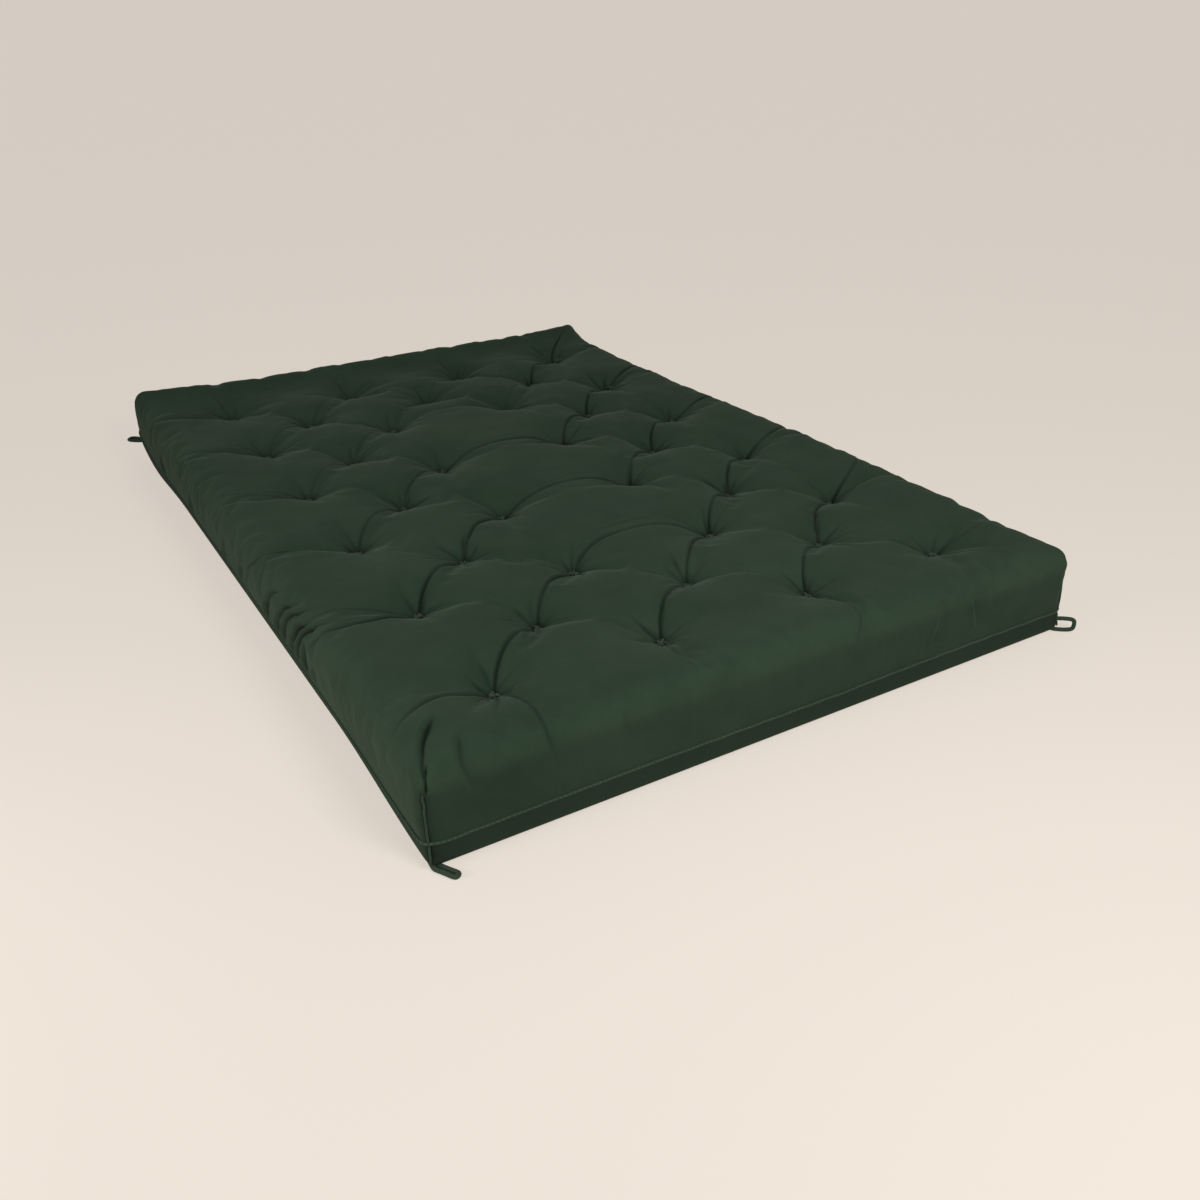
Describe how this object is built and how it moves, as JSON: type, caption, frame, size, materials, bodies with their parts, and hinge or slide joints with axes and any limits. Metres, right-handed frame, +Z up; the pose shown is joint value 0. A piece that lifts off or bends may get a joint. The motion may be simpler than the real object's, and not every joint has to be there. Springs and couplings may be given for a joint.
{
  "type": "futon mattress",
  "caption": "Thick tufted double futon mattress: layered cotton and foam in a dark green brushed cover, with quilting tufts, a stitched side seam and fabric corner loops.",
  "frame": {"origin": "middle of the flat underside, on the floor", "axes": "+X across the width, +Y along the length towards the curled back end, +Z up"},
  "size_m": [1.4492, 2.0403, 0.2065],
  "materials": {
    "cover_fabric": "brushed dark green cotton with a soft short nap",
    "seam_fabric": "turned and stitched dark green cotton",
    "tuft_yarn": "thick twisted dark green yarn",
    "cotton_batting": "carded off-white cotton felt",
    "foam": "open-cell cream foam"
  },
  "bodies": {
    "root": {"cover_top_panel": "cover_fabric", "cover_bottom_panel": "cover_fabric", "side_seam": "seam_fabric", "corner_seams": "seam_fabric", "front_left_loop": "seam_fabric", "front_right_loop": "seam_fabric", "back_left_loop": "seam_fabric", "back_right_loop": "seam_fabric", "foam_core": "foam", "tuft_twines": "tuft_yarn", "top_tufts": "tuft_yarn", "bottom_tufts": "tuft_yarn", "lower_batt_1": "cotton_batting", "upper_batt_1": "cotton_batting", "lower_batt_2": "cotton_batting", "upper_batt_2": "cotton_batting", "lower_batt_3": "cotton_batting", "upper_batt_3": "cotton_batting"}
  },
  "joints": []
}
